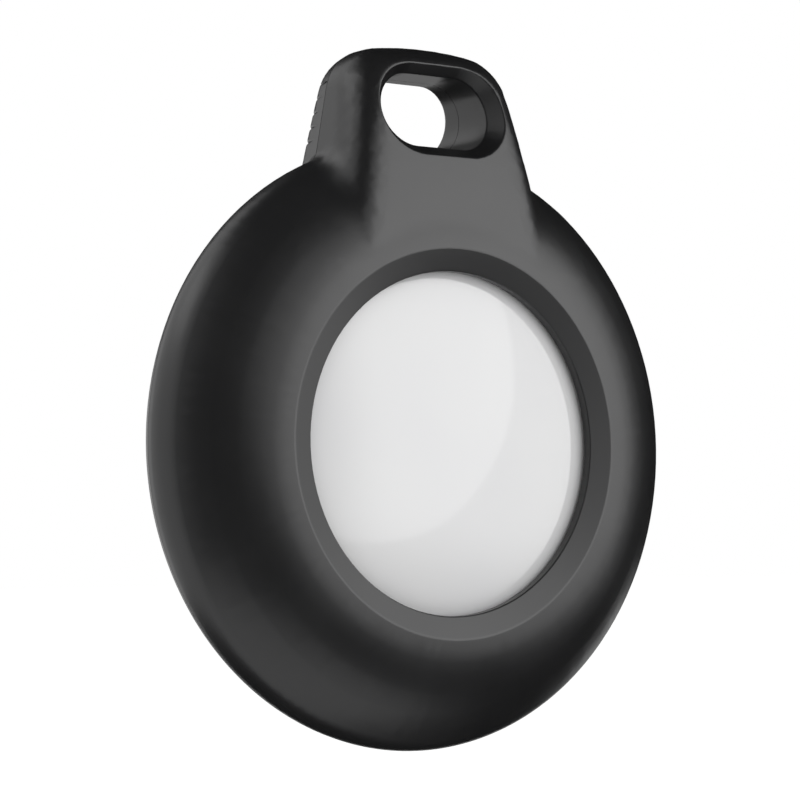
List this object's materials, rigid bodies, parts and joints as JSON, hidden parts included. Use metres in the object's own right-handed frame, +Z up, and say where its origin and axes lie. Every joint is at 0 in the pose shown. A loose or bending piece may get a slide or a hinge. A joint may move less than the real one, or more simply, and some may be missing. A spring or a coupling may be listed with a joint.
{
  "type": "tracker tag holder",
  "caption": "Round twist-lock case that holds a coin-shaped tracker tag behind front and back windows and hangs from a key ring by a slotted lug.",
  "frame": {"origin": "centre of the key-ring slot, in the plane of the disc's widest circle", "axes": "+Z up from the disc to the lug, -Y out of the front window, +X to the right seen from the front"},
  "size_m": [0.04, 0.0094, 0.0462],
  "materials": {
    "case_plastic": "fine satin moulded, black",
    "tag_plastic": "polished, white",
    "tray_plastic": "moulded, pale grey",
    "cover_steel": "polished stainless",
    "foam": "open foam, dark grey",
    "cell_steel": "nickel-plated",
    "gasket_plastic": "moulded",
    "cathode_mix": "pressed powder, black",
    "separator_felt": "thin white felt",
    "anode_metal": "soft rolled foil",
    "contact_steel": "nickel-plated spring strip",
    "board_laminate": "solder-masked laminate",
    "chip_resin": "moulded black resin",
    "capacitor_ceramic": "fired ceramic with tinned ends",
    "copper": "bare copper",
    "magnet_nickel": "nickel-plated"
  },
  "bodies": {
    "rear": {"rear_shell": "case_plastic"},
    "tag": {"tag_dome": "tag_plastic", "battery_tray": "tray_plastic", "coin_cell_can": "cell_steel", "coin_cell_cap": "cell_steel", "coin_cell_gasket": "gasket_plastic", "cell_cathode": "cathode_mix", "cell_separator": "separator_felt", "cell_anode": "anode_metal", "positive_contacts": "contact_steel", "negative_contact": "contact_steel", "circuit_board": "board_laminate", "ranging_chip": "chip_resin", "bluetooth_chip": "chip_resin", "flash_chip": "chip_resin", "audio_amplifier_chip": "chip_resin", "motion_sensor_chip": "chip_resin", "board_capacitors": "capacitor_ceramic", "antenna_carrier": "tray_plastic", "ranging_antenna": "copper", "bluetooth_antenna": "copper", "near_field_antenna": "copper", "speaker_yoke": "contact_steel", "speaker_magnet": "magnet_nickel", "voice_coil": "copper"},
    "front": {"front_shell": "case_plastic"},
    "cover": {"battery_cover": "cover_steel", "cover_pad": "foam"}
  },
  "joints": [
    {"name": "front_twist", "type": "hinge", "parent": "rear", "child": "tag", "pos_m": [0, 0, -0.02185], "axis": [0, -1, 0], "range_deg": [0, 60]},
    {"name": "front_lift", "type": "slide", "parent": "tag", "child": "front", "axis": [0, -1, 0], "range_m": [0, 0.00201]},
    {"name": "cover_twist", "type": "hinge", "parent": "tag", "child": "cover", "pos_m": [0, 0, -0.02185], "axis": [0, 1, 0], "range_deg": [0, 22]}
  ],
  "couplings": [
    {"joint": "front_lift", "follows": "front_twist", "m_per_rad": 0.0019099}
  ]
}
